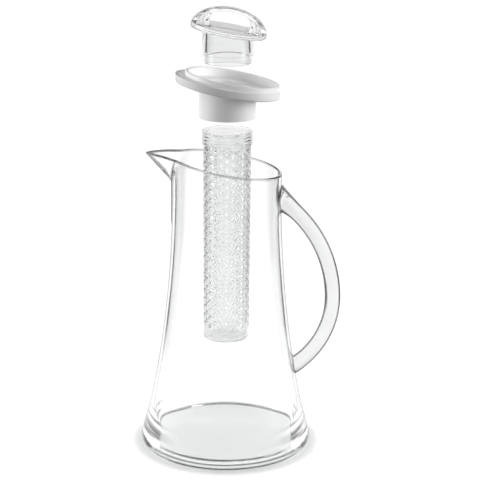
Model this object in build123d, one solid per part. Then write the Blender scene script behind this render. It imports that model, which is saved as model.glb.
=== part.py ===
from build123d import *
import os
from math import cos, radians, sin, sqrt, tan

# Pitcher body: a slim neck that flares to a wide, thick foot. Sizes are millimetres.
neck_radius = 46.6
wall = 2.5
mouth_height = 250.0
slant = 9.5
flare_top = 228.0
neck_pull = 63.0
foot_radius = 74.5
foot_height = 8.0
foot_pull = 66.0
foot_lean = 0.30
foot_round = 8.0
floor_radius = 65.0
floor_thickness = 7.5
bond_gap = 0.1

# Spout: a pinched V that grows out of the neck below the mouth
spout_reach = 75.0
spout_half_angle = 34.0
spout_depth = 24.0
spout_tip_round = 4.0
lip_bend_radius = 120.0

# Handle: a solid oval rod bent to a long arc above and a tighter one below, with a wider pad at each end
handle_reach = 98.9
upper_bow_radius = 106.0
lower_bow_radius = 75.0
handle_mid_height = 131.0
handle_thickness = 13.7
handle_width = 16.0
upper_pad_spread = 1.85
lower_pad_spread = 1.2
handle_pad_length = 30.0
handle_top_angle = 60.0
handle_bottom_angle = -66.0
handle_sections = 13

# Lid: a dish with a collar under it, and a soft seal round its edge
seal_clearance = 0.3
seal_thickness = 2.4
seal_height = 6.6
seal_round = 1.6
dish_radius = 39.6
dish_wall = 3.2
dish_rise = 4.3
dish_floor = 3.5
collar_wall = 2.4
collar_length = 23.5
lid_sink = 0.7
lid_lift = 70.5

# Infuser: a drafted tube, closed below and pierced all over, with a plain neck
tube_neck_radius = 21.6
tube_neck_height = 11.5
tube_top_radius = 20.25
tube_bottom_radius = 19.8
tube_wall = 1.9
tube_length = 182.7
tube_floor = 2.5
tube_round = 2.0
tube_lip = 1.4
tube_fit = 0.3
infuser_drop = 11.0
hole_columns = 24
hole_pitch = 7.45
hole_width = 3.4
hole_height = 4.8
hole_margin = 5.0

# Stopper: a domed cap with finger scoops and a window, on a hollow plug
plug_fit = 0.7
plug_wall = 2.2
plug_step = 7.0
plug_step_fit = 0.3
plug_length = 24.5
cap_radius = 31.9
cap_height = 19.2
cap_disc = 2.2
cap_under = 2.5
cap_edge_round = 2.0
scoop_radius = 40.0
grip_width = 13.0
grip_bar = 3.6
window_half_width = 17.0
window_round = 4.0
seat_gap = 0.3
stopper_lift = 42.9

# Heights and radii that follow from the sizes above
slope = tan(radians(slant))
neck_bore = neck_radius - wall
seal_radius = neck_bore - seal_clearance
seal_bore = seal_radius - seal_thickness
plate_radius = seal_bore - bond_gap
seal_top = mouth_height - lid_sink + lid_lift
seal_bottom = seal_top - seal_height
dish_top = seal_top + dish_rise
dish_floor_top = seal_bottom + dish_floor
dish_shift = seal_radius - dish_radius
collar_bore = tube_neck_radius + tube_fit
collar_radius = collar_bore + collar_wall
collar_bottom = seal_bottom - collar_length
tube_top = collar_bottom - infuser_drop
tube_bottom = tube_top - tube_length
tube_mouth_radius = tube_neck_radius - tube_lip
cap_seat = dish_floor_top + seat_gap + stopper_lift
plug_radius = collar_bore - plug_fit
plug_step_radius = tube_mouth_radius - plug_step_fit
plug_bottom = cap_seat - plug_length
far = 4 * foot_radius
high = mouth_height + lid_lift + far


def on_slant(x, height):
    # Height at x of the slanted plane that meets the axis at this height
    return height - x * slope


def upright(outline):
    # A face in the plane of spout and handle, from an outline of x and height
    return Plane.XZ * make_face(outline)


def slab(low, top):
    # All space between two slanted planes, given by their heights on the axis
    corners = [(-far, on_slant(-far, low)), (far, on_slant(far, low))]
    corners += [(far, on_slant(far, top)), (-far, on_slant(-far, top))]
    return extrude(upright(Polyline(*corners, close=True)), amount=far, both=True)


def post(radius, low, top, x=0):
    # An upright cylinder between two heights
    return Pos(x, 0, low) * extrude(Circle(radius), amount=top - low)


def wedge(radius, low, top, x=0):
    # An upright cylinder cut by two slanted planes
    return post(radius, low - far, top + far, x) & slab(low, top)


def turned(*points):
    # A solid turned about the axis from radius and height pairs
    return revolve(upright(Polyline(*points, close=True)), axis=Axis.Z)


def flared(extra):
    # The solid inside the flared wall line, moved outwards by this much
    foot = foot_radius + extra
    neck = neck_radius + extra
    wall_line = Bezier(
        (foot, foot_height),
        (foot - foot_lean * foot_pull, foot_height + foot_pull),
        (neck, flare_top - neck_pull),
        (neck, flare_top),
    )
    foot_line = Line((foot + foot_lean * foot_height, 0), (foot, foot_height))
    rest = Polyline((neck, flare_top), (neck, high), (0, high), (0, 0), foot_line @ 0)
    return revolve(upright(foot_line + wall_line + rest), axis=Axis.Z)


def spout_cone(inset):
    # A cone from a root on the neck through the V of the mouth, moved in by this much
    lean = (spout_reach - neck_radius) / spout_depth
    root_height = on_slant(-neck_radius, mouth_height) - spout_depth + inset * sqrt(1 + 1 / lean**2)
    root = Vector(inset - neck_radius, 0, root_height)
    side_radius = neck_radius - inset
    side_x = -side_radius * cos(radians(spout_half_angle))
    side_y = side_radius * sin(radians(spout_half_angle))
    corners = [(inset - spout_reach, 0), (side_x, side_y), (0, 0), (side_x, -side_y)]
    past_mouth = 1.8
    points = []
    for x, y in corners:
        mouth_point = Vector(x, y, on_slant(x, mouth_height))
        points.append(root + (mouth_point - root) * past_mouth)
    mouth_v = make_face(Polyline(*points, close=True))
    tip = mouth_v.vertices().sort_by(Axis.X)[0]
    mouth_v = fillet(tip, spout_tip_round * past_mouth)
    return loft([Vertex(root.X, root.Y, root.Z), mouth_v.face()])


def above_mouth():
    # What the mouth cuts away: a slanted plane that bends down along the lip of the spout
    start = (far, on_slant(far, mouth_height))
    bend = (-neck_radius, on_slant(-neck_radius, mouth_height))
    along = (-cos(radians(slant)), sin(radians(slant)))
    lip_sweep = 30
    lip = JernArc(bend, along, lip_bend_radius, lip_sweep)
    rest = Polyline(lip @ 1, (-far, (lip @ 1).Y), (-far, high + far), (far, high + far), start)
    return extrude(upright(Line(start, bend) + lip + rest), amount=far, both=True)


def make_pitcher_body():
    outside = flared(0)
    outside = fillet(outside.edges().group_by(Axis.Z)[0], foot_round)
    inside = flared(-wall) & post(floor_radius, 0, high)
    return outside + spout_cone(0) - inside - spout_cone(wall) - above_mouth()


def make_pitcher_base():
    return post(floor_radius - bond_gap, 0, floor_thickness)


def handle_section(angle):
    # One oval across the rod, wider near either end of its arc
    turn = radians(angle)
    if angle > 0:
        bow_radius, pad_spread = upper_bow_radius, upper_pad_spread
        run_to_end = radians(handle_top_angle - angle) * bow_radius
    else:
        bow_radius, pad_spread = lower_bow_radius, lower_pad_spread
        run_to_end = radians(angle - handle_bottom_angle) * bow_radius
    near_end = max(0, 1 - run_to_end / handle_pad_length)
    spread = 1 + (pad_spread - 1) * near_end**2
    centre_x = handle_reach - handle_thickness / 2 - bow_radius
    centre = (centre_x + bow_radius * cos(turn), 0, handle_mid_height + bow_radius * sin(turn))
    across = Plane(origin=centre, x_dir=(cos(turn), 0, sin(turn)), z_dir=(-sin(turn), 0, cos(turn)))
    return across * Ellipse(spread * handle_thickness / 2, spread * handle_width / 2).face()


def make_pitcher_handle():
    step = (handle_top_angle - handle_bottom_angle) / (handle_sections - 1)
    sections = [handle_section(handle_bottom_angle + step * i) for i in range(handle_sections)]
    return loft(sections) - flared(bond_gap)


def make_lid_dish():
    rim = wedge(dish_radius, seal_top, dish_top, dish_shift)
    plate = wedge(plate_radius, seal_bottom, seal_top)
    collar = post(collar_radius, collar_bottom, high) & slab(-far, seal_bottom)
    hollow = wedge(dish_radius - dish_wall, dish_floor_top, dish_top + dish_rise, dish_shift)
    bore = post(collar_bore, collar_bottom, high)
    return rim + plate + collar - hollow - bore


def make_lid_seal():
    ring = wedge(seal_radius, seal_bottom, seal_top)
    lower_edge = ring.edges().filter_by(GeomType.ELLIPSE).sort_by(Axis.Z)[0]
    ring = fillet(lower_edge, seal_round)
    return ring - post(seal_bore, seal_bottom - far, high)


def hole_cutter(column, row):
    # A diamond bar that points outwards through the tube's wall
    height = tube_top - tube_neck_height - hole_margin - hole_pitch * (row + 0.5 * (column % 2))
    half_wide = hole_width / 2
    half_high = hole_height / 2
    diamond = Polyline((half_wide, 0), (0, half_high), (-half_wide, 0), (0, -half_high), close=True)
    start = tube_bottom_radius - 2 * tube_wall
    outwards = Plane(origin=(start, 0, height), x_dir=(0, 1, 0), z_dir=(1, 0, 0))
    bar = extrude(outwards * make_face(diamond), amount=tube_neck_radius - start)
    return Rot(0, 0, 360 * column / hole_columns) * bar


def make_infuser_tube():
    shoulder = tube_top - tube_neck_height
    outside = turned(
        (0, tube_bottom),
        (tube_bottom_radius, tube_bottom),
        (tube_top_radius, shoulder),
        (tube_neck_radius, shoulder),
        (tube_neck_radius, tube_top),
        (0, tube_top),
    )
    outside = fillet(outside.edges().group_by(Axis.Z)[0], tube_round)
    inside = turned(
        (0, tube_bottom + tube_floor),
        (tube_bottom_radius - tube_wall, tube_bottom + tube_floor),
        (tube_top_radius - tube_wall, shoulder),
        (tube_mouth_radius, shoulder),
        (tube_mouth_radius, high),
        (0, high),
    )
    pierced_length = tube_length - tube_neck_height - 2 * hole_margin - tube_floor
    rows = int(pierced_length / hole_pitch)
    cutters = [hole_cutter(column, row) for column in range(hole_columns) for row in range(rows)]
    return outside - inside - cutters


def cap_frame():
    # The slanted plane of the cap's underside, with x running down towards the handle
    turn = radians(slant)
    return Plane(origin=(0, 0, cap_seat), x_dir=(cos(turn), 0, -sin(turn)), z_dir=(sin(turn), 0, cos(turn)))


def make_stopper_cap():
    crown = cap_under + cap_height
    scoop_floor = cap_under + cap_disc
    profile = EllipticalCenterArc((0, cap_under), cap_radius, cap_height, arc_size=90)
    profile += Polyline((0, crown), (0, 0), (cap_radius, 0), (cap_radius, cap_under))
    dome = revolve(upright(profile), axis=Axis.Z)
    dome = fillet(dome.edges().group_by(Axis.Z)[0], cap_edge_round)
    scoop = Pos(0, scoop_radius + grip_width / 2, scoop_floor) * extrude(Circle(scoop_radius), amount=crown)
    opening = Pos(0, crown / 2 + scoop_floor) * Rectangle(2 * window_half_width, crown)
    opening &= Pos(0, cap_under) * Ellipse(cap_radius - grip_bar, cap_height - grip_bar)
    opening = fillet(opening.vertices(), window_round)
    window = extrude(Plane.XZ * opening, amount=cap_radius, both=True)
    return cap_frame() * (dome - scoop - mirror(scoop, Plane.XZ) - window)


def make_stopper_plug():
    shank = post(plug_radius, plug_bottom + plug_step, high) & slab(-far, cap_seat)
    foot = post(plug_step_radius, plug_bottom, plug_bottom + plug_step)
    return shank + foot - post(plug_step_radius - plug_wall, plug_bottom, high)


os.makedirs("parts", exist_ok=True)
pieces = {
    "pitcher_body": make_pitcher_body,
    "pitcher_base": make_pitcher_base,
    "pitcher_handle": make_pitcher_handle,
    "lid_dish": make_lid_dish,
    "lid_seal": make_lid_seal,
    "infuser_tube": make_infuser_tube,
    "stopper_cap": make_stopper_cap,
    "stopper_plug": make_stopper_plug,
}
for name, make in pieces.items():
    export_step(make(), f"parts/{name}.step")
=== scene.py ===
import math

import bmesh
import bpy
import numpy as np
from mathutils import Euler, Matrix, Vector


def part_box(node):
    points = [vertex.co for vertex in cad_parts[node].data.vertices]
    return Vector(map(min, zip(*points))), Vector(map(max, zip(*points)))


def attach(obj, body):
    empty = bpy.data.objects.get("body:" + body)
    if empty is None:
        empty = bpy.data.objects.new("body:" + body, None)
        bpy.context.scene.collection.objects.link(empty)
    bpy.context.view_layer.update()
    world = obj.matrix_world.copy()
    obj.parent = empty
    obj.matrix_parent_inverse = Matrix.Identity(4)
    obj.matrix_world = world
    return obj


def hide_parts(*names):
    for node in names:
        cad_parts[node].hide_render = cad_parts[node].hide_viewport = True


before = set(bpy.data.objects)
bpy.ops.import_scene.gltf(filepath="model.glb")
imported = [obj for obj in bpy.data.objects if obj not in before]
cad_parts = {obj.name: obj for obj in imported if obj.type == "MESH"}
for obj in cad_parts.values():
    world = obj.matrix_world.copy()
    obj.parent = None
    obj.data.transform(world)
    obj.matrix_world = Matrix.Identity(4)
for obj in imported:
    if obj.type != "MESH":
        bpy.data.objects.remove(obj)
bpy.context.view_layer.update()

# Shapes are worked out in millimetres and written in metres
MM = 0.001


def box_mm(node):
    # A node's lowest and highest corner at rest
    low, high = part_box(node)
    return np.array(low) / MM, np.array(high) / MM


# Gaps where pieces are bonded and where they slide into each other
BOND_GAP = 0.1
FIT_GAP = 0.3

# Slant that the mouth, the lid and the cap share
SLANT = math.radians(9.5)
SLOPE = math.tan(SLANT)

# Pitcher's body, with the sizes of its solid
NECK_RADIUS = 46.6
WALL = 2.5
MOUTH_HEIGHT = 250.0
FLARE_TOP = 228.0
NECK_PULL = 63.0
NECK_ROWS_FROM = 196.0
FOOT_RADIUS = 74.5
FOOT_HEIGHT = 8.0
FOOT_PULL = 66.0
FOOT_LEAN = 0.30
FOOT_ROUND = 8.0
FOOT_INNER_START = 6.0
FOOT_LINE_TOP = 30.0
BORE_BLEND = 2.0

# Floor disc
BASE_RADIUS = box_mm("pitcher_base")[1][0]
FLOOR_RADIUS = BASE_RADIUS + BOND_GAP
FLOOR_THICKNESS = box_mm("pitcher_base")[1][2]
FLOOR_COVE = 1.2

# Spout
SPOUT_REACH = 75.0
SPOUT_HALF_ANGLE = math.radians(34)
SPOUT_FINE_ANGLE = math.radians(44)
SPOUT_LIMIT_ANGLE = math.radians(60)
SPOUT_DEPTH = 24.0
SPOUT_TIP_SOFT = 1.8
SPOUT_BLEND = 3.0
LIP_BEND_RADIUS = 120.0

# Painted shade on the brim and on the spout's keel, which look dark because the wall is seen edge on
BRIM_PAINTED_SHADE = 0.42
BRIM_PAINTED_SHADE_FROM = 0.9 * WALL
BRIM_PAINTED_SHADE_FULL = 0.6 * WALL
LIP_PAINTED_SHADE = 0.85
LIP_PAINTED_SHADE_FROM = 18.0
KEEL_FROM = 2.0
KEEL_FULL = 5.0
KEEL_HALF_WIDTH = 1.0
KEEL_FADED = 2.2

# Handle
HANDLE_REACH = 98.9
UPPER_BOW_RADIUS = 106.0
LOWER_BOW_RADIUS = 75.0
HANDLE_MID_HEIGHT = 131.0
HANDLE_THICKNESS = 13.7
HANDLE_WIDTH = 16.0
UPPER_PAD_SPREAD = 1.85
LOWER_PAD_SPREAD = 1.2
HANDLE_PAD_LENGTH = 30.0
HANDLE_TOP_ANGLE = 60.0
HANDLE_BOTTOM_ANGLE = -66.0
PAD_SHARES = (0, 0.35, 0.7, 0.92)

# Infuser, whose heights come from where its solid hangs
TUBE_LOW, TUBE_HIGH = box_mm("infuser_tube")
TUBE_BOTTOM = TUBE_LOW[2]
TUBE_TOP = TUBE_HIGH[2]
TUBE_NECK_RADIUS = TUBE_HIGH[0]
TUBE_NECK_WALL = 1.4
TUBE_MOUTH_RADIUS = TUBE_NECK_RADIUS - TUBE_NECK_WALL
TUBE_NECK_HEIGHT = 11.5
TUBE_SHOULDER = TUBE_TOP - TUBE_NECK_HEIGHT
TUBE_TOP_RADIUS = 20.25
TUBE_BOTTOM_RADIUS = 19.8
TUBE_WALL = 1.9
TUBE_FLOOR = 2.5
TUBE_FLOOR_ROUND = 1.0
TUBE_FOOT_ROUND = 2.0
TUBE_FOOT_STRIP = 4.0
TUBE_SHOULDER_STRIP = 0.4

# Holes of the infuser
HOLE_COLUMNS = 24
HOLE_ROWS = 21
HOLE_PITCH = 7.45
HOLE_WIDTH = 3.4
HOLE_HEIGHT = 4.8
HOLE_MARGIN = 5.0
HOLE_ROUNDNESS = 0.55
HOLE_CIRCLE = 0.85
HOLE_LIP = 0.12
INNER_LIP_SHARE = 0.4

# Rings round a hole, by their share of the way in from the cell's edge and how far they stand out
CELL_RINGS = [(0.0, 0.0), (0.4, 0.08), (0.72, HOLE_LIP), (0.92, HOLE_LIP), (1.0, 0.1)]

# Grooves on the infuser's neck
GROOVES = 3
FIRST_GROOVE = 2.6
GROOVE_PITCH = 2.8
GROOVE_DEPTH = 0.5
GROOVE_HALF_WIDTH = 0.8
GROOVE_HALF_FLOOR = 0.2

# Lid, whose heights come from where its solids hang
SEAL_HIGH = box_mm("lid_seal")[1]
SEAL_RADIUS = SEAL_HIGH[0]
SEAL_THICKNESS = 2.4
SEAL_BORE = SEAL_RADIUS - SEAL_THICKNESS
SEAL_HEIGHT = 6.6
SEAL_TOP = SEAL_HIGH[2] - SEAL_RADIUS * SLOPE
SEAL_BOTTOM = SEAL_TOP - SEAL_HEIGHT
SEAL_ROUND = 1.6
PLATE_RADIUS = SEAL_BORE - BOND_GAP
DISH_RADIUS = 39.6
DISH_SHIFT = SEAL_RADIUS - DISH_RADIUS
DISH_WALL = 3.2
DISH_RIM = 4.3
DISH_RIM_ROUND = 1.2
DISH_TOP = SEAL_TOP + DISH_RIM
DISH_FLOOR = 3.5
DISH_FLOOR_ROUND = 1.6
DISH_FLOOR_TOP = SEAL_BOTTOM + DISH_FLOOR
COLLAR_BOTTOM = box_mm("lid_dish")[0][2]
COLLAR_BORE = TUBE_NECK_RADIUS + FIT_GAP
COLLAR_WALL = 2.4
COLLAR_RADIUS = COLLAR_BORE + COLLAR_WALL
COLLAR_ROOT_ROUND = 1.0

# Stopper's plug
PLUG_LOW, PLUG_HIGH = box_mm("stopper_plug")
PLUG_RADIUS = PLUG_HIGH[0]
PLUG_BOTTOM = PLUG_LOW[2]
PLUG_STEP = 7.0
PLUG_WALL = 2.2
PLUG_STEP_RADIUS = TUBE_MOUTH_RADIUS - FIT_GAP
PLUG_BORE = PLUG_STEP_RADIUS - PLUG_WALL

# Stopper's cap
CAP_SEAT = PLUG_HIGH[2] - PLUG_RADIUS * SLOPE
CAP_RADIUS = 31.9
CAP_HEIGHT = 19.2
CAP_UNDER = 2.5
CAP_DISC = 2.2
CAP_RIM_BLEND = 3.2
CAP_EDGE_BLEND = 1.0
SCOOP_RADIUS = 40.0
SCOOP_BLEND = 2.5
GRIP_WIDTH = 13.0
GRIP_BAR = 3.6
WINDOW_HALF_WIDTH = 17.0
WINDOW_BLEND = 4.0

# Corner radii that several pieces share
EDGE_HAIR = 0.2
EDGE_SLIGHT = 0.3
EDGE_SMALL = 0.4
EDGE_SOFT = 0.5
EDGE_FULL = 0.6

# A rounded corner takes at most this share of each of its sides
LONGEST_CUT = 0.48

# How the points of a turned outline lie
LEVEL = 0
SLANTED = 1
ON_AXIS = 0

# How finely shapes are divided
RING_STEPS = 192
ROUND_STEPS = 5
COVE_STEPS = 8
BRIM_STEPS = 8
WALL_LINE_STEPS = 400
FLARE_ROWS = 48
NECK_ROWS = 44
SPOUT_STEPS = 121
BACK_STEPS = 150
HANDLE_AROUND_STEPS = 64
HANDLE_ALONG_STEPS = 120
CELL_STEPS = 4
CAP_GRID = 0.55

# Points that agree to this many decimals are one point
WELD_DIGITS = 4

# Faces that meet at more than this angle in degrees keep a crease
CREASE = 40
TUBE_CREASE = 50
CAP_CREASE = 80

# How often a sum that closes in on its answer is repeated
SPOUT_ROUNDS = 4
BRIM_ROUNDS = 6
CROSSING_ROUNDS = 40
CAP_ROUNDS = 8

# How the cap's grid is drawn onto its form
CAP_PROBE = 0.02
CAP_STEP_SHARE = 0.8
CAP_LEAST_SLOPE = 0.25

# Keeps a divisor away from zero
TINY = 1e-6

# What the materials share
CLEAR_IOR = 1.49
CLEAR_SHADOW = (0.93, 0.94, 0.94)
TINT_SCALE = 40.0
ROUGH_SCALE = 70.0
SMOOTHEST_SHARE = 0.4
NOISE_LOW = 0.3
NOISE_HIGH = 0.7
GRAIN_DEPTH = 0.0002

# Painted edge shade of the body is weaker low down, where the white floor is close, with heights in metres
LOW_PAINTED_EDGE = 0.75
LOW_PAINTED_EDGE_UNTIL = 0.02
FULL_PAINTED_EDGE_FROM = 0.13

# World's light from left and right, by the direction that it comes from
LEFT_LIGHT = 5.5
RIGHT_LIGHT = 9.3
SIDE_POWER = 5.0
SIDE_CHANGE = 0.5
FRONT_LIGHT = 0.05
HIGH_SHARE = 0.3
HIGH_FROM = 0.2
HIGH_FULL = 0.6

# Dark ceiling that only glass and gloss see
CEILING = 0.08
CEILING_FROM = 0.25
CEILING_FULL = 0.45

# Dark flags that only glass and gloss see, with where each border starts and ends
FLAG_SHADE = 0.06
FLAG_ASIDE = (0.58, 0.72)
FLAG_AWAY = (0.3, 0.5)
FLAG_BEHIND = (0.0, 0.2)

# Floor, in metres
FLOOR_HALF = 9.0
FLOOR_DROP = 0.0002
FLOOR_ROUGHNESS = 0.9
FLOOR_GLOW = 0.62
FLOOR_PAINT = 0.8
FLOOR_BOUNCE = 0.25
CONTACT_REACH = 0.012
CONTACT_DEPTH = 3.0
CONTACT_SAMPLES = 8

# Lamps, in metres and watts
LAMP_ASIDE = 0.9
LAMP_BEHIND = 0.1
LAMP_HEIGHT = 0.7
LAMP_AIM = (0, 0, 0.2)
LAMP_WIDTH = 0.6
LAMP_LENGTH = 0.9
LEFT_POWER = 4.6
RIGHT_POWER = 0.6

# Camera, in metres, degrees and millimetres of lens
CAMERA_PLACE = (0.0114, -1.210, 0.524)
CAMERA_DIP = 15.75
CAMERA_ROLL = 0.5
LENS = 109.9
SENSOR_WIDTH = 36.0

# How often light may turn inside the thick clear pieces before it is lost
LIGHT_TURNS = 32


def on_slant(x, height):
    # Height at x of the slanted plane that meets the axis at this height
    return height - x * SLOPE


def smooth_max(a, b, blend):
    # The larger of two values, rounded off where they are within the blend of each other
    nearness = np.maximum(blend - np.abs(a - b), 0) / blend
    return np.maximum(a, b) + nearness**2 * blend / 4


def ramp(value, start, end):
    # A smooth step from 0 at the start to 1 at the end
    share = np.clip((value - start) / (end - start), 0, 1)
    return share**2 * (3 - 2 * share)


def points_of(mesh):
    # A mesh's points in millimetres
    points = np.empty(len(mesh.vertices) * 3)
    mesh.vertices.foreach_get("co", points)
    return points.reshape(-1, 3) / MM


def finish_mesh(name, mesh, crease):
    # Smooth shading with creases, on a new object in the scene
    mesh.shade_smooth()
    mesh.set_sharp_from_angle(angle=math.radians(crease))
    piece = bpy.data.objects.new(name, mesh)
    bpy.context.scene.collection.objects.link(piece)
    return piece


def mesh_piece(name, quads, crease=CREASE):
    # One mesh from four-cornered faces given by their points, where adding 0.0 makes minus zero plain zero
    index = {}
    faces = []
    for quad in quads:
        face = []
        for point in quad:
            key = tuple(np.round(point, WELD_DIGITS) + 0.0)
            number = index.setdefault(key, len(index))
            if number not in face:
                face.append(number)
        if len(face) > 2:
            faces.append(face)
    mesh = bpy.data.meshes.new(name)
    mesh.from_pydata([[c * MM for c in key] for key in index], [], faces)
    mesh.validate()
    outward = bmesh.new()
    outward.from_mesh(mesh)
    bmesh.ops.recalc_face_normals(outward, faces=outward.faces)
    outward.to_mesh(mesh)
    outward.free()
    return finish_mesh(name, mesh, crease)


def skin(rings, loop=False):
    # Faces between rings of points, with open ends or with the last ring joined to the first
    quads = []
    pairs = list(zip(rings, rings[1:]))
    if loop:
        pairs.append((rings[-1], rings[0]))
    for low, high in pairs:
        for i in range(len(low)):
            j = (i + 1) % len(low)
            quads.append((low[i], low[j], high[j], high[i]))
    return quads


def rounded(outline, loop=True):
    # Rounds the corners of an outline whose points end with their own corner radius
    points = [np.array(p[:-1], float) for p in outline]
    result = []
    for i, corner in enumerate(points):
        radius = outline[i][-1]
        at_end = not loop and i in (0, len(points) - 1)
        if radius == 0 or at_end:
            result.append(corner)
            continue
        before = points[i - 1] - corner
        after = points[(i + 1) % len(points)] - corner
        long_before = np.linalg.norm(before[:2])
        long_after = np.linalg.norm(after[:2])
        cosine = before[:2] @ after[:2] / (long_before * long_after)
        cut = radius * math.sqrt((1 + cosine) / (1 - cosine))
        cut_before = before * min(LONGEST_CUT, cut / long_before)
        cut_after = after * min(LONGEST_CUT, cut / long_after)
        weight = math.sqrt((1 - cosine) / 2)
        for step in range(ROUND_STEPS + 1):
            t = step / ROUND_STEPS
            share = (1 - t) ** 2 + 2 * t * (1 - t) * weight + t**2
            result.append(corner + (cut_before * (1 - t) ** 2 + cut_after * t**2) / share)
    return result


def ring(radius, height, slant=LEVEL, shift=ON_AXIS, steps=RING_STEPS):
    # A circle about an upright axis, level or on the slant
    points = []
    for i in range(steps):
        angle = 2 * math.pi * i / steps
        x = shift + radius * math.cos(angle)
        points.append((x, radius * math.sin(angle), height - slant * SLOPE * x))
    return points


def turned(name, outline, loop=True):
    # A turned piece from points of radius, height, slant, shift and corner radius
    rings = [ring(*point) for point in rounded(outline, loop)]
    return mesh_piece(name, skin(rings, loop))


def wall_line():
    # The flared line of the body's wall as two lists, radius and height
    t = np.linspace(0, 1, WALL_LINE_STEPS)
    points = [
        (FOOT_RADIUS, FOOT_HEIGHT),
        (FOOT_RADIUS - FOOT_LEAN * FOOT_PULL, FOOT_HEIGHT + FOOT_PULL),
        (NECK_RADIUS, FLARE_TOP - NECK_PULL),
        (NECK_RADIUS, FLARE_TOP),
    ]
    shares = [(1 - t) ** 3, 3 * t * (1 - t) ** 2, 3 * t**2 * (1 - t), t**3]
    radii = sum(share * radius for share, (radius, _) in zip(shares, points))
    heights = sum(share * height for share, (_, height) in zip(shares, points))
    return radii, heights


WALL_RADII, WALL_HEIGHTS = wall_line()


def wall_radius(height):
    # Outer radius of the body without its spout
    below = FOOT_RADIUS + FOOT_LEAN * np.maximum(FOOT_HEIGHT - height, 0)
    return np.where(height < FOOT_HEIGHT, below, np.interp(height, WALL_HEIGHTS, WALL_RADII))


def mouth_at(x):
    # Height of the mouth's cut, which bends down along the lip of the spout
    bend_x = -NECK_RADIUS
    centre_x = bend_x - LIP_BEND_RADIUS * math.sin(SLANT)
    centre_z = on_slant(bend_x, MOUTH_HEIGHT) - LIP_BEND_RADIUS * math.cos(SLANT)
    aside = np.minimum(np.abs(x - centre_x), LIP_BEND_RADIUS)
    arc = centre_z + np.sqrt(LIP_BEND_RADIUS**2 - aside**2)
    return np.where(x > bend_x, on_slant(x, MOUTH_HEIGHT), arc)


def spout_radius(angle, height, inset):
    # Radius at an angle from the spout: the wall's circle, or the V of the spout where that reaches further
    lean = (SPOUT_REACH - NECK_RADIUS) / SPOUT_DEPTH
    root_x = inset - NECK_RADIUS
    root_height = on_slant(-NECK_RADIUS, MOUTH_HEIGHT) - SPOUT_DEPTH + inset * math.sqrt(1 + 1 / lean**2)
    root_level = root_height + SLOPE * root_x
    side = NECK_RADIUS - inset
    circle = wall_radius(height) - inset
    cosine, sine = np.cos(angle), np.sin(angle)
    radius = circle
    for _ in range(SPOUT_ROUNDS):
        grown = (height - SLOPE * radius * cosine - root_level) / (MOUTH_HEIGHT - root_level)
        grown = np.maximum(grown, TINY)
        tip = -(root_x + grown * (inset - SPOUT_REACH - root_x))
        side_x = root_x + grown * (-side * math.cos(SPOUT_HALF_ANGLE) - root_x)
        rise = (side_x + tip) / (grown * side * math.sin(SPOUT_HALF_ANGLE))
        soft = (rise * SPOUT_TIP_SOFT * grown) ** 2
        under_root = (tip * cosine) ** 2 - (cosine**2 - (rise * sine) ** 2) * (tip**2 - soft)
        v_line = (tip**2 - soft) / (tip * cosine + np.sqrt(np.maximum(under_root, 0)))
        v_line = np.where(np.abs(angle) < SPOUT_LIMIT_ANGLE, v_line, 0)
        radius = smooth_max(circle, v_line, SPOUT_BLEND)
    return radius


def body_angles():
    # Angles from the spout, closer together where the spout is
    fine = np.linspace(-SPOUT_FINE_ANGLE, SPOUT_FINE_ANGLE, SPOUT_STEPS)
    coarse = np.linspace(SPOUT_FINE_ANGLE, 2 * math.pi - SPOUT_FINE_ANGLE, BACK_STEPS)
    return np.concatenate([fine, coarse[1:-1]])


def placed(angles, radius, height):
    # Points at angles from the spout
    heights = np.broadcast_to(height, angles.shape)
    return np.stack([-radius * np.cos(angles), radius * np.sin(angles), heights], axis=1)


def spout_ring(angles, height, inset):
    return placed(angles, spout_radius(angles, height, inset), height)


def neck_rings(angles, inset):
    # Rings from a level line on the neck up to the mouth, closer together near it
    brim = np.full(angles.shape, MOUTH_HEIGHT)
    for _ in range(BRIM_ROUNDS):
        brim = mouth_at(spout_ring(angles, brim, inset)[:, 0]) - WALL / 2
    rings = []
    for row in range(NECK_ROWS + 1):
        share = math.sin(math.pi / 2 * row / NECK_ROWS)
        rings.append(spout_ring(angles, NECK_ROWS_FROM + share * (brim - NECK_ROWS_FROM), inset))
    return rings


def brim_rings(outer_ring, inner_ring):
    # Rings that round the brim over from the outer wall to the inner one
    middle = (outer_ring + inner_ring) / 2
    half = (outer_ring - inner_ring) / 2
    rings = []
    for step in range(1, BRIM_STEPS):
        turn = math.pi * step / BRIM_STEPS
        points = middle + half * math.cos(turn)
        points[:, 2] += np.minimum(np.linalg.norm(half, axis=1) * math.sin(turn), WALL / 2)
        rings.append(points)
    return rings


def paint_brim_and_keel_shade(mesh):
    # Paints shade on the brim and the keel of the spout, as a point attribute
    x, y, z = points_of(mesh).T
    brim = ramp(z - mouth_at(x), -BRIM_PAINTED_SHADE_FROM, -BRIM_PAINTED_SHADE_FULL)
    brim *= BRIM_PAINTED_SHADE + (LIP_PAINTED_SHADE - BRIM_PAINTED_SHADE) * ramp(-x, LIP_PAINTED_SHADE_FROM, NECK_RADIUS)
    keel = ramp(-x - NECK_RADIUS, KEEL_FROM, KEEL_FULL)
    keel *= 1 - ramp(np.abs(y), KEEL_HALF_WIDTH, KEEL_FADED)
    keel *= z > FLARE_TOP
    brim_keel_shade = mesh.attributes.new("painted_brim_keel_shade", "FLOAT", "POINT")
    brim_keel_shade.data.foreach_set("value", np.maximum(brim, keel))


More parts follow.
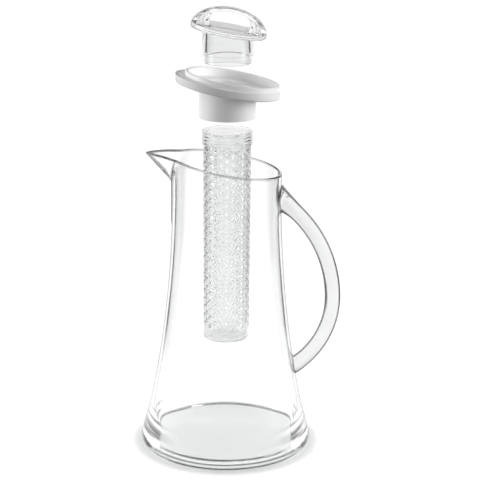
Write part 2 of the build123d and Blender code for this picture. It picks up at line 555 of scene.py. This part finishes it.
def make_pitcher_body():
    # Outer wall from the foot up, over the brim, and inner wall down again
    angles = body_angles()
    heights = np.linspace(FOOT_HEIGHT, NECK_ROWS_FROM, FLARE_ROWS)
    foot_line = [
        (FLOOR_RADIUS, FOOT_INNER_START, 0),
        (FLOOR_RADIUS, 0, EDGE_SLIGHT),
        (FOOT_RADIUS + FOOT_LEAN * FOOT_HEIGHT, 0, FOOT_ROUND),
        (wall_radius(FOOT_LINE_TOP), FOOT_LINE_TOP, 0),
    ]
    outer = [placed(angles, radius, height) for radius, height in rounded(foot_line, loop=False)]
    outer += [placed(angles, wall_radius(h), h) for h in heights if h > FOOT_LINE_TOP]
    outer += neck_rings(angles, 0)[1:]
    inner = neck_rings(angles, WALL)[::-1]
    for h in heights[-2::-1]:
        bore = -smooth_max(WALL - wall_radius(h), -FLOOR_RADIUS, BORE_BLEND)
        inner.append(placed(angles, bore, h))
    rings = outer + brim_rings(outer[-1], inner[0]) + inner
    piece = mesh_piece("pitcher_body_skin", skin(rings, loop=True))
    # Painted shade on the brim and keel
    paint_brim_and_keel_shade(piece.data)
    return piece


def make_pitcher_base():
    # The floor disc, with the cove that its bonding leaves along the wall
    outline = [(0, 0, LEVEL, ON_AXIS, 0), (BASE_RADIUS, 0, LEVEL, ON_AXIS, EDGE_SOFT)]
    for step in range(COVE_STEPS + 1):
        turn = math.pi / 2 * step / COVE_STEPS
        radius = BASE_RADIUS - FLOOR_COVE * (1 - math.cos(turn))
        height = FLOOR_THICKNESS + FLOOR_COVE * (1 - math.sin(turn))
        outline.append((radius, height, LEVEL, ON_AXIS, 0))
    outline.append((0, FLOOR_THICKNESS, LEVEL, ON_AXIS, 0))
    return turned("pitcher_base_skin", outline, loop=False)


def handle_point(around, angle):
    # A point on the rod's skin, by the angle round its oval and the angle along its arcs
    turn = math.radians(angle)
    if angle > 0:
        bow_radius, pad_spread = UPPER_BOW_RADIUS, UPPER_PAD_SPREAD
        run_to_end = math.radians(HANDLE_TOP_ANGLE - angle) * bow_radius
    else:
        bow_radius, pad_spread = LOWER_BOW_RADIUS, LOWER_PAD_SPREAD
        run_to_end = math.radians(angle - HANDLE_BOTTOM_ANGLE) * bow_radius
    near_end = max(0.0, 1 - run_to_end / HANDLE_PAD_LENGTH)
    spread = 1 + (pad_spread - 1) * near_end**2
    out = bow_radius + spread * HANDLE_THICKNESS / 2 * math.cos(around)
    centre_x = HANDLE_REACH - HANDLE_THICKNESS / 2 - bow_radius
    return np.array([
        centre_x + out * math.cos(turn),
        spread * HANDLE_WIDTH / 2 * math.sin(around),
        HANDLE_MID_HEIGHT + out * math.sin(turn),
    ])


def wall_crossing(around, outside, inside):
    # The angle along the arc at which a line of the rod's skin meets the body
    for _ in range(CROSSING_ROUNDS):
        middle = (outside + inside) / 2
        x, y, z = handle_point(around, middle)
        if math.hypot(x, y) > wall_radius(z) + BOND_GAP:
            outside = middle
        else:
            inside = middle
    return outside


def pad_rings(edge_ring, shares):
    # Rings that close the rod's end, laid on the body's wall
    centre = sum(edge_ring) / len(edge_ring)
    rings = []
    for share in shares:
        points = []
        for point in edge_ring:
            _, y, z = centre + (point - centre) * share
            reach = wall_radius(z) + BOND_GAP
            points.append(np.array([math.sqrt(reach**2 - y**2), y, z]))
        rings.append(points)
    return rings


def make_pitcher_handle():
    # Lines along the rod from pad to pad, read across as rings
    columns = []
    for i in range(HANDLE_AROUND_STEPS):
        around = 2 * math.pi * i / HANDLE_AROUND_STEPS
        top = wall_crossing(around, 0, HANDLE_TOP_ANGLE)
        bottom = wall_crossing(around, 0, HANDLE_BOTTOM_ANGLE)
        stops = [bottom + (top - bottom) * j / HANDLE_ALONG_STEPS for j in range(HANDLE_ALONG_STEPS + 1)]
        columns.append([handle_point(around, stop) for stop in stops])
    rings = list(zip(*columns))
    low_pad = pad_rings(rings[0], PAD_SHARES)
    high_pad = pad_rings(rings[-1], PAD_SHARES[::-1])
    return mesh_piece("pitcher_handle_skin", skin(low_pad + rings + high_pad))


def make_lid_dish():
    # The slanted dish is set off centre towards the handle, and the collar under it is upright
    hollow = DISH_RADIUS - DISH_WALL
    outline = [
        (COLLAR_BORE, COLLAR_BOTTOM, LEVEL, ON_AXIS, EDGE_SOFT),
        (COLLAR_RADIUS, COLLAR_BOTTOM, LEVEL, ON_AXIS, EDGE_SOFT),
        (COLLAR_RADIUS, SEAL_BOTTOM, SLANTED, ON_AXIS, COLLAR_ROOT_ROUND),
        (PLATE_RADIUS, SEAL_BOTTOM, SLANTED, ON_AXIS, EDGE_SMALL),
        (PLATE_RADIUS, SEAL_TOP, SLANTED, ON_AXIS, EDGE_HAIR),
        (DISH_RADIUS, SEAL_TOP, SLANTED, DISH_SHIFT, EDGE_HAIR),
        (DISH_RADIUS, DISH_TOP, SLANTED, DISH_SHIFT, DISH_RIM_ROUND),
        (hollow, DISH_TOP, SLANTED, DISH_SHIFT, DISH_RIM_ROUND),
        (hollow, DISH_FLOOR_TOP, SLANTED, DISH_SHIFT, DISH_FLOOR_ROUND),
        (COLLAR_BORE, DISH_FLOOR_TOP, SLANTED, ON_AXIS, EDGE_FULL),
    ]
    return turned("lid_dish_skin", outline)


def make_lid_seal():
    outline = [
        (SEAL_BORE, SEAL_BOTTOM, SLANTED, ON_AXIS, EDGE_SMALL),
        (SEAL_RADIUS, SEAL_BOTTOM, SLANTED, ON_AXIS, SEAL_ROUND),
        (SEAL_RADIUS, SEAL_TOP, SLANTED, ON_AXIS, EDGE_SOFT),
        (SEAL_BORE, SEAL_TOP, SLANTED, ON_AXIS, EDGE_SLIGHT),
    ]
    return turned("lid_seal_skin", outline)


def tube_radius(height, inner):
    # Radius of the infuser's slightly tapered wall, outside or inside
    share = (height - TUBE_BOTTOM) / (TUBE_SHOULDER - TUBE_BOTTOM)
    radius = TUBE_BOTTOM_RADIUS + (TUBE_TOP_RADIUS - TUBE_BOTTOM_RADIUS) * share
    return radius - TUBE_WALL if inner else radius


def tube_point(column, height, inner, out=0.0):
    # A point on the infuser's wall, at a place counted in hole columns, moved outwards by a little
    radius = tube_radius(height, inner) + out
    angle = 2 * math.pi * column / HOLE_COLUMNS
    return np.array([radius * math.cos(angle), radius * math.sin(angle), height])


def diamond():
    # The edge of a cell of half width and half height 1, in equal steps
    corners = [np.array(c, float) for c in ((1, 0), (0, 1), (-1, 0), (0, -1))]
    points = []
    for start, end in zip(corners, corners[1:] + corners[:1]):
        points += [start + (end - start) * i / CELL_STEPS for i in range(CELL_STEPS)]
    return points


CELL_EDGE = diamond()


def cell_ring(column, height, inner, share, lip):
    # One ring of a cell, a share of the way from its edge to its rounded hole
    column_width = 2 * math.pi * TUBE_TOP_RADIUS / HOLE_COLUMNS
    hole = np.array([HOLE_WIDTH / 2 / column_width, HOLE_HEIGHT / 2])
    cell = np.array([1.0, HOLE_PITCH / 2])
    out = -lip * INNER_LIP_SHARE if inner else lip
    points = []
    for unit in CELL_EDGE:
        circle = unit / np.linalg.norm(unit) * HOLE_CIRCLE
        hole_unit = unit * (1 - HOLE_ROUNDNESS) + circle * HOLE_ROUNDNESS
        across, up = unit * cell * (1 - share) + hole_unit * hole * share
        points.append(tube_point(column + across, height + up, inner, out))
    return points


def tube_cell(column, height):
    # One diamond cell of the wall with its lipped hole, on both faces of the wall
    outside = [cell_ring(column, height, False, share, lip) for share, lip in CELL_RINGS]
    inside = [cell_ring(column, height, True, share, lip) for share, lip in CELL_RINGS]
    return skin(outside + inside[::-1])


def zigzag_edge(even_height, odd_height):
    # The upper or lower edge of the field of cells, as places of column and height
    points = []
    for column in range(HOLE_COLUMNS):
        here, there = (even_height, odd_height) if column % 2 == 0 else (odd_height, even_height)
        for i in range(CELL_STEPS):
            points.append((column + i / CELL_STEPS, here + (there - here) * i / CELL_STEPS))
    return points


def tube_end_strip(zigzag, level, inner, up):
    # Faces between the zigzag edge of the cells and a level ring
    quads = []
    count = len(zigzag)
    for i in range(count):
        (c0, h0), (c1, h1) = zigzag[i], zigzag[(i + 1) % count]
        if c1 < c0:
            c1 += HOLE_COLUMNS
        places = ((c0, h0), (c1, h1), (c1, level), (c0, level))
        quad = [tube_point(column, height, inner) for column, height in places]
        quads.append(quad if up != inner else quad[::-1])
    return quads


def tube_neck_outline(level):
    # The grooved neck, from the wall's outside over the mouth to the wall's inside
    outside, inside = tube_radius(level, False), tube_radius(level, True)
    groove_radius = TUBE_NECK_RADIUS - GROOVE_DEPTH
    outline = [
        (outside, level, 0),
        (outside, TUBE_SHOULDER, EDGE_HAIR),
        (TUBE_NECK_RADIUS, TUBE_SHOULDER, EDGE_SOFT),
    ]
    for i in range(GROOVES):
        groove = TUBE_SHOULDER + FIRST_GROOVE + GROOVE_PITCH * i
        outline += [
            (TUBE_NECK_RADIUS, groove - GROOVE_HALF_WIDTH, EDGE_SLIGHT),
            (groove_radius, groove - GROOVE_HALF_FLOOR, EDGE_SLIGHT),
            (groove_radius, groove + GROOVE_HALF_FLOOR, EDGE_SLIGHT),
            (TUBE_NECK_RADIUS, groove + GROOVE_HALF_WIDTH, EDGE_SLIGHT),
        ]
    outline += [
        (TUBE_NECK_RADIUS, TUBE_TOP, EDGE_FULL),
        (TUBE_MOUTH_RADIUS, TUBE_TOP, EDGE_FULL),
        (TUBE_MOUTH_RADIUS, TUBE_SHOULDER, EDGE_SOFT),
        (inside, TUBE_SHOULDER, EDGE_HAIR),
        (inside, level, 0),
    ]
    return outline


def tube_floor_outlines(level):
    # The closed lower end, outside and inside
    outside, inside = tube_radius(level, False), tube_radius(level, True)
    floor = TUBE_BOTTOM + TUBE_FLOOR
    return [
        [(outside, level, 0), (outside, TUBE_BOTTOM, TUBE_FOOT_ROUND), (0, TUBE_BOTTOM, 0)],
        [(0, floor, 0), (inside, floor, TUBE_FLOOR_ROUND), (inside, level, 0)],
    ]


def make_infuser_tube():
    # A field of staggered cells, with plain ends above and below
    first_row = TUBE_SHOULDER - HOLE_MARGIN
    last_row = first_row - HOLE_PITCH * HOLE_ROWS
    quads = []
    for column in range(HOLE_COLUMNS):
        for row in range(HOLE_ROWS):
            quads += tube_cell(column, first_row - HOLE_PITCH * (row + 0.5 * (column % 2)))
    top_edge = zigzag_edge(first_row + HOLE_PITCH / 2, first_row)
    low_edge = zigzag_edge(last_row + HOLE_PITCH / 2, last_row)
    top_level = TUBE_SHOULDER - TUBE_SHOULDER_STRIP
    low_level = TUBE_BOTTOM + TUBE_FOOT_STRIP
    for inner in (False, True):
        quads += tube_end_strip(top_edge, top_level, inner, True)
        quads += tube_end_strip(low_edge, low_level, inner, False)
    steps = HOLE_COLUMNS * CELL_STEPS
    for outline in [tube_neck_outline(top_level)] + tube_floor_outlines(low_level):
        line = rounded(outline, loop=False)
        quads += skin([ring(radius, height, steps=steps) for radius, height in line])
    return mesh_piece("infuser_tube_skin", quads, TUBE_CREASE)


def outside_ellipse(across, up, half_width, half_height):
    # About how far points lie outside an upright ellipse
    share = np.hypot(across / half_width, up / half_height)
    steepness = np.hypot(across / half_width**2, up / half_height**2)
    return share * (share - 1) / np.maximum(steepness, TINY)


def cap_depth(points):
    # How far points of the cap's own frame lie outside the domed cap, with softly rounded edges
    x, y, z = points.T
    scoop_floor = CAP_UNDER + CAP_DISC
    dome = outside_ellipse(np.hypot(x, y), z - CAP_UNDER, CAP_RADIUS, CAP_HEIGHT)
    dome = np.where(z > CAP_UNDER, dome, np.hypot(x, y) - CAP_RADIUS)
    dome = smooth_max(dome, -z, CAP_RIM_BLEND)
    scoop = np.hypot(x, np.abs(y) - SCOOP_RADIUS - GRIP_WIDTH / 2) - SCOOP_RADIUS
    scoop = smooth_max(scoop, scoop_floor - z, SCOOP_BLEND)
    window = smooth_max(np.abs(x) - WINDOW_HALF_WIDTH, scoop_floor - z, WINDOW_BLEND)
    under_bar = outside_ellipse(x, z - CAP_UNDER, CAP_RADIUS - GRIP_BAR, CAP_HEIGHT - GRIP_BAR)
    window = smooth_max(window, under_bar, WINDOW_BLEND)
    return smooth_max(smooth_max(dome, -scoop, CAP_EDGE_BLEND), -window, CAP_EDGE_BLEND)


def cap_slope(points):
    # How fast the depth grows along each axis
    slopes = []
    for axis in range(3):
        step = np.zeros(3)
        step[axis] = CAP_PROBE
        slopes.append((cap_depth(points + step) - cap_depth(points - step)) / (2 * CAP_PROBE))
    return np.stack(slopes, axis=1)


def even_grid(node):
    # A node's solid as a mesh of small even faces
    draft = bpy.data.objects.new("draft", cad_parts[node].data.copy())
    bpy.context.scene.collection.objects.link(draft)
    remesh = draft.modifiers.new("even_grid", "REMESH")
    remesh.mode = "VOXEL"
    remesh.voxel_size = CAP_GRID * MM
    graph = bpy.context.evaluated_depsgraph_get()
    mesh = bpy.data.meshes.new_from_object(draft.evaluated_get(graph))
    bpy.data.objects.remove(draft)
    return mesh


def make_stopper_cap():
    # An even grid over the solid, drawn onto the smooth form
    mesh = even_grid("stopper_cap")
    to_row = np.array(Matrix.Rotation(SLANT, 3, "Y"))
    seat = np.array([0, 0, CAP_SEAT])
    points = (points_of(mesh) - seat) @ to_row
    for _ in range(CAP_ROUNDS):
        slope = cap_slope(points)
        steepness = np.maximum((slope**2).sum(axis=1), CAP_LEAST_SLOPE)
        points -= CAP_STEP_SHARE * (cap_depth(points) / steepness)[:, None] * slope
    points = (points @ to_row.T + seat) * MM
    mesh.vertices.foreach_set("co", points.ravel())
    mesh.materials.clear()
    mesh.update()
    return finish_mesh("stopper_cap_skin", mesh, CAP_CREASE)


def make_stopper_plug():
    shank_bottom = PLUG_BOTTOM + PLUG_STEP
    shank_top = CAP_SEAT - BOND_GAP
    outline = [
        (PLUG_BORE, PLUG_BOTTOM, LEVEL, ON_AXIS, EDGE_SOFT),
        (PLUG_STEP_RADIUS, PLUG_BOTTOM, LEVEL, ON_AXIS, EDGE_FULL),
        (PLUG_STEP_RADIUS, shank_bottom, LEVEL, ON_AXIS, EDGE_SMALL),
        (PLUG_RADIUS, shank_bottom, LEVEL, ON_AXIS, EDGE_SOFT),
        (PLUG_RADIUS, shank_top, SLANTED, ON_AXIS, EDGE_HAIR),
        (PLUG_BORE, shank_top, SLANTED, ON_AXIS, EDGE_HAIR),
    ]
    return turned("stopper_plug_skin", outline)


# Materials
def new_material(name):
    # A material with its nodes, its links and its main shader
    material = bpy.data.materials.new(name)
    material.use_nodes = True
    nodes, links = material.node_tree.nodes, material.node_tree.links
    return material, nodes, links, nodes["Principled BSDF"]


def grey(value):
    return (value, value, value)


def math_node(nodes, links, operation, first, second=None):
    # One step of arithmetic on sockets or numbers
    node = nodes.new("ShaderNodeMath")
    node.operation = operation
    for socket, value in zip(node.inputs, (first, second)):
        if isinstance(value, (int, float)):
            socket.default_value = value
        elif value is not None:
            links.new(value, socket)
    return node.outputs["Value"]


def range_node(nodes, links, value, start, end, low, high):
    # A node that takes the range from start to end to the range from low to high
    node = nodes.new("ShaderNodeMapRange")
    for name, number in zip(("From Min", "From Max", "To Min", "To Max"), (start, end, low, high)):
        node.inputs[name].default_value = number
    links.new(value, node.inputs["Value"])
    return node


def stepped(nodes, links, value, start, end, low=0.0, high=1.0):
    # A smooth step between two values
    node = range_node(nodes, links, value, start, end, low, high)
    node.interpolation_type = "SMOOTHSTEP"
    return node.outputs["Result"]


def noise_between(nodes, links, scale, low=0.0, high=1.0, detail=3.0):
    # A noise over the piece's own place, spread between two values
    place = nodes.new("ShaderNodeTexCoord")
    noise = nodes.new("ShaderNodeTexNoise")
    noise.inputs["Scale"].default_value = scale
    noise.inputs["Detail"].default_value = detail
    links.new(place.outputs["Object"], noise.inputs["Vector"])
    spread = range_node(nodes, links, noise.outputs["Fac"], NOISE_LOW, NOISE_HIGH, low, high)
    return spread.outputs["Result"]


def mixed(nodes, links, share, first, second):
    # A colour between two, by a share, where the first may be a socket
    mix = nodes.new("ShaderNodeMix")
    mix.data_type = "RGBA"
    if isinstance(first, bpy.types.NodeSocket):
        links.new(first, mix.inputs["A"])
    else:
        mix.inputs["A"].default_value = (*first, 1)
    mix.inputs["B"].default_value = (*second, 1)
    links.new(share, mix.inputs["Factor"])
    return mix.outputs["Result"]


def bumped(nodes, links, shader, height, strength, distance):
    # Fine relief on a shader
    bump = nodes.new("ShaderNodeBump")
    bump.inputs["Strength"].default_value = strength
    bump.inputs["Distance"].default_value = distance
    links.new(height, bump.inputs["Height"])
    links.new(bump.outputs["Normal"], shader.inputs["Normal"])


def faded_painted_edges(nodes, links, painted_edge_share):
    # Painted edge shade that is weaker towards the foot, with the painted shade of the brim and keel added
    place = nodes.new("ShaderNodeSeparateXYZ")
    links.new(nodes.new("ShaderNodeTexCoord").outputs["Object"], place.inputs["Vector"])
    strength = stepped(nodes, links, place.outputs["Z"], LOW_PAINTED_EDGE_UNTIL, FULL_PAINTED_EDGE_FROM, LOW_PAINTED_EDGE)
    painted_edge_share = math_node(nodes, links, "MULTIPLY", painted_edge_share, strength)
    brim_keel_shade = nodes.new("ShaderNodeAttribute")
    brim_keel_shade.attribute_name = "painted_brim_keel_shade"
    return math_node(nodes, links, "MAXIMUM", painted_edge_share, brim_keel_shade.outputs["Fac"])


def clear_plastic(
    name, tints, rough, wave_scale, wave, painted_edge_from, painted_edge_shade, painted_edge_width=0.2, painted_body_shade=False
):
    # Clear moulded plastic with painted shade where it is seen edge on, and the slight waviness of its
    # mould
    material, nodes, links, shader = new_material(name)
    shader.inputs["Transmission Weight"].default_value = 1.0
    shader.inputs["IOR"].default_value = CLEAR_IOR
    tint = mixed(nodes, links, noise_between(nodes, links, TINT_SCALE), *tints)
    facing = nodes.new("ShaderNodeLayerWeight").outputs["Facing"]
    # Painted shade: the colour darkens towards a dark grey where the surface is seen edge on
    painted_edge_share = stepped(nodes, links, facing, painted_edge_from, painted_edge_from + painted_edge_width)
    if painted_body_shade:
        painted_edge_share = faded_painted_edges(nodes, links, painted_edge_share)
    links.new(mixed(nodes, links, painted_edge_share, tint, grey(painted_edge_shade)), shader.inputs["Base Color"])
    roughness = noise_between(nodes, links, ROUGH_SCALE, rough * SMOOTHEST_SHARE, rough)
    links.new(roughness, shader.inputs["Roughness"])
    bumped(nodes, links, shader, noise_between(nodes, links, wave_scale, detail=1.0), 1.0, wave)
    through = nodes.new("ShaderNodeBsdfTransparent")
    through.inputs["Color"].default_value = (*CLEAR_SHADOW, 1)
    path = nodes.new("ShaderNodeLightPath")
    mix = nodes.new("ShaderNodeMixShader")
    links.new(path.outputs["Is Shadow Ray"], mix.inputs["Fac"])
    links.new(shader.outputs["BSDF"], mix.inputs[1])
    links.new(through.outputs["BSDF"], mix.inputs[2])
    links.new(mix.outputs["Shader"], nodes["Material Output"].inputs["Surface"])
    return material


def opaque_plastic(name, tints, tint_scale, rough, rough_scale, grain, grain_scale):
    # Moulded plastic with a little change of tone and gloss, and a fine grain
    material, nodes, links, shader = new_material(name)
    tint = mixed(nodes, links, noise_between(nodes, links, tint_scale), *tints)
    links.new(tint, shader.inputs["Base Color"])
    links.new(noise_between(nodes, links, rough_scale, *rough), shader.inputs["Roughness"])
    bumped(nodes, links, shader, noise_between(nodes, links, grain_scale), grain, GRAIN_DEPTH)
    return material


# Almost colourless polished body, with painted shade on its edges, brim and keel
clear_body = clear_plastic(
    "clear_body", [(0.975, 0.98, 0.98), (0.99, 0.993, 0.992)],
    rough=0.01, wave_scale=9.0, wave=0.0004, painted_edge_from=0.74, painted_edge_shade=0.02, painted_edge_width=0.1, painted_body_shade=True,
)
# Thick floor disc, tinted greyer than the body as painted shade of the shadowed floor under it
clear_base = clear_plastic(
    "clear_base", [(0.72, 0.725, 0.725), (0.74, 0.745, 0.745)],
    rough=0.02, wave_scale=9.0, wave=0.0004, painted_edge_from=0.85, painted_edge_shade=0.4,
)
# Solid handle with a painted dark outline
clear_handle = clear_plastic(
    "clear_handle", [(0.76, 0.765, 0.765), (0.80, 0.805, 0.805)],
    rough=0.01, wave_scale=9.0, wave=0.0004, painted_edge_from=0.34, painted_edge_shade=0.02,
)
# Duller infuser
clear_infuser = clear_plastic(
    "clear_infuser", [(0.85, 0.855, 0.855), (0.87, 0.875, 0.875)],
    rough=0.14, wave_scale=60.0, wave=0.0003, painted_edge_from=0.85, painted_edge_shade=0.6,
)
# Polished cap
clear_stopper = clear_plastic(
    "clear_stopper", [(0.96, 0.965, 0.965), (0.98, 0.985, 0.985)],
    rough=0.01, wave_scale=18.0, wave=0.0003, painted_edge_from=0.6, painted_edge_shade=0.12,
)
# Hollow plug, greyer than the cap
clear_plug = clear_plastic(
    "clear_plug", [(0.88, 0.885, 0.885), (0.9, 0.905, 0.905)],
    rough=0.01, wave_scale=18.0, wave=0.0003, painted_edge_from=0.75, painted_edge_shade=0.3,
)
# Satin white lid
white_plastic = opaque_plastic(
    "white_plastic", [(0.80, 0.80, 0.805), (0.84, 0.84, 0.84)], tint_scale=25.0,
    rough=(0.3, 0.42), rough_scale=160.0, grain=0.06, grain_scale=900.0,
)
# Matte white silicone, a little warmer and duller than the lid, and darker, partly as its own tone and
# partly as painted shade
white_silicone = opaque_plastic(
    "white_silicone", [(0.68, 0.68, 0.675), (0.72, 0.72, 0.715)], tint_scale=35.0,
    rough=(0.5, 0.65), rough_scale=220.0, grain=0.1, grain_scale=1400.0,
)


def dress(piece, node, body, material):
    # Sets a piece in place of its solid, on its body, with its material
    piece.data.materials.append(material)
    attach(piece, body)
    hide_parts(node)


dress(make_pitcher_body(), "pitcher_body", "pitcher", clear_body)
dress(make_pitcher_base(), "pitcher_base", "pitcher", clear_base)
dress(make_pitcher_handle(), "pitcher_handle", "pitcher", clear_handle)
dress(make_lid_dish(), "lid_dish", "lid", white_plastic)
dress(make_lid_seal(), "lid_seal", "lid", white_silicone)
dress(make_infuser_tube(), "infuser_tube", "infuser", clear_infuser)
dress(make_stopper_cap(), "stopper_cap", "stopper", clear_stopper)
dress(make_stopper_plug(), "stopper_plug", "stopper", clear_plug)


# Floor, light and camera
def passed_on(nodes, links):
    # 1 for rays that glass or gloss passes on, and the light path node
    path = nodes.new("ShaderNodeLightPath")
    glossy, through = path.outputs["Is Glossy Ray"], path.outputs["Is Transmission Ray"]
    return math_node(nodes, links, "MAXIMUM", glossy, through), path


def side_flags(nodes, links):
    # Where dark flags lie behind the object on both sides, which draw the edges of clear pieces
    place = nodes.new("ShaderNodeTexCoord").outputs["Object"]
    parts = nodes.new("ShaderNodeSeparateXYZ")
    links.new(place, parts.inputs["Vector"])
    reach = nodes.new("ShaderNodeVectorMath")
    reach.operation = "LENGTH"
    links.new(place, reach.inputs[0])
    away = reach.outputs["Value"]
    across = math_node(nodes, links, "ABSOLUTE", parts.outputs["X"])
    flags = stepped(nodes, links, math_node(nodes, links, "DIVIDE", across, away), *FLAG_ASIDE)
    flags = math_node(nodes, links, "MULTIPLY", flags, stepped(nodes, links, away, *FLAG_AWAY))
    behind = stepped(nodes, links, parts.outputs["Y"], *FLAG_BEHIND)
    return math_node(nodes, links, "MULTIPLY", flags, behind)


def floor_material():
    # White with a contact shade for the camera, white with dark flags for glass and gloss, paint for light
    material, nodes, links, shader = new_material("white_floor")
    shader.inputs["Roughness"].default_value = FLOOR_ROUGHNESS
    shader.inputs["Specular IOR Level"].default_value = 0.0
    shader.inputs["Emission Color"].default_value = (1, 1, 1, 1)
    rays, path = passed_on(nodes, links)
    flagged = math_node(nodes, links, "MULTIPLY", side_flags(nodes, links), rays)
    paint = mixed(nodes, links, path.outputs["Is Diffuse Ray"], grey(FLOOR_PAINT), grey(FLOOR_BOUNCE))
    links.new(mixed(nodes, links, flagged, paint, grey(FLAG_SHADE)), shader.inputs["Base Color"])
    shade = nodes.new("ShaderNodeAmbientOcclusion")
    shade.samples = CONTACT_SAMPLES
    shade.inputs["Distance"].default_value = CONTACT_REACH
    contact = math_node(nodes, links, "POWER", shade.outputs["AO"], CONTACT_DEPTH)
    seen = math_node(nodes, links, "MULTIPLY", path.outputs["Is Camera Ray"], contact)
    seen = math_node(nodes, links, "MAXIMUM", seen, math_node(nodes, links, "SUBTRACT", rays, flagged))
    links.new(math_node(nodes, links, "MULTIPLY", seen, FLOOR_GLOW), shader.inputs["Emission Strength"])
    return material


def make_floor():
    # A white floor that keeps the shadow
    corners = [(x * FLOOR_HALF, y * FLOOR_HALF, 0) for x, y in ((-1, -1), (1, -1), (1, 1), (-1, 1))]
    mesh = bpy.data.meshes.new("floor")
    mesh.from_pydata(corners, [], [(0, 1, 2, 3)])
    mesh.materials.append(floor_material())
    floor = bpy.data.objects.new("floor", mesh)
    floor.location.z = -FLOOR_DROP
    bpy.context.scene.collection.objects.link(floor)


def make_world():
    # Soft light from both sides, white for the camera, and white with a dark ceiling for glass and gloss
    world = bpy.data.worlds.new("studio")
    world.use_nodes = True
    nodes, links = world.node_tree.nodes, world.node_tree.links
    background = nodes["Background"]
    background.inputs["Color"].default_value = (1, 1, 1, 1)
    way = nodes.new("ShaderNodeSeparateXYZ")
    links.new(nodes.new("ShaderNodeTexCoord").outputs["Generated"], way.inputs["Vector"])
    x, z = way.outputs["X"], way.outputs["Z"]
    sideways = math_node(nodes, links, "POWER", math_node(nodes, links, "ABSOLUTE", x), SIDE_POWER)
    low_down = stepped(nodes, links, z, HIGH_FROM, HIGH_FULL, 1.0, HIGH_SHARE)
    sideways = math_node(nodes, links, "MULTIPLY", sideways, low_down)
    side_light = stepped(nodes, links, x, -SIDE_CHANGE, SIDE_CHANGE, LEFT_LIGHT, RIGHT_LIGHT)
    side_light = math_node(nodes, links, "MULTIPLY", sideways, side_light)
    rays, path = passed_on(nodes, links)
    strength = nodes.new("ShaderNodeMix")
    links.new(rays, strength.inputs["Factor"])
    links.new(math_node(nodes, links, "ADD", side_light, FRONT_LIGHT), strength.inputs["A"])
    links.new(stepped(nodes, links, z, CEILING_FROM, CEILING_FULL, 1.0, CEILING), strength.inputs["B"])
    camera_ray = path.outputs["Is Camera Ray"]
    total = math_node(nodes, links, "MAXIMUM", strength.outputs["Result"], camera_ray)
    links.new(total, background.inputs["Strength"])
    bpy.context.scene.world = world


def make_lamp(name, x, power):
    # A soft window of light that looks at the object
    light = bpy.data.lights.new(name, "AREA")
    light.shape = "RECTANGLE"
    light.size = LAMP_WIDTH
    light.size_y = LAMP_LENGTH
    light.energy = power
    lamp = bpy.data.objects.new(name, light)
    bpy.context.scene.collection.objects.link(lamp)
    place = np.array([x, LAMP_BEHIND, LAMP_HEIGHT])
    lamp.location = place
    direction = np.array(LAMP_AIM) - place
    yaw = math.atan2(direction[0], -direction[1])
    tilt = math.atan2(math.hypot(direction[0], direction[1]), -direction[2])
    lamp.rotation_euler = Euler((tilt, 0, yaw + math.pi))


def make_camera():
    # The photograph's view
    data = bpy.data.cameras.new("camera")
    data.sensor_width = SENSOR_WIDTH
    data.lens = LENS
    camera = bpy.data.objects.new("camera", data)
    camera.location = CAMERA_PLACE
    pitch = Matrix.Rotation(math.radians(90 - CAMERA_DIP), 4, "X")
    roll = Matrix.Rotation(math.radians(CAMERA_ROLL), 4, "Z")
    camera.rotation_euler = (pitch @ roll).to_euler()
    bpy.context.scene.collection.objects.link(camera)
    bpy.context.scene.camera = camera


make_floor()
make_world()
make_lamp("left_window", -LAMP_ASIDE, LEFT_POWER)
make_lamp("right_window", LAMP_ASIDE, RIGHT_POWER)
make_camera()
bpy.context.scene.view_settings.view_transform = "Standard"
bpy.context.scene.cycles.max_bounces = LIGHT_TURNS
bpy.context.scene.cycles.transmission_bounces = LIGHT_TURNS
bpy.context.scene.cycles.glossy_bounces = LIGHT_TURNS
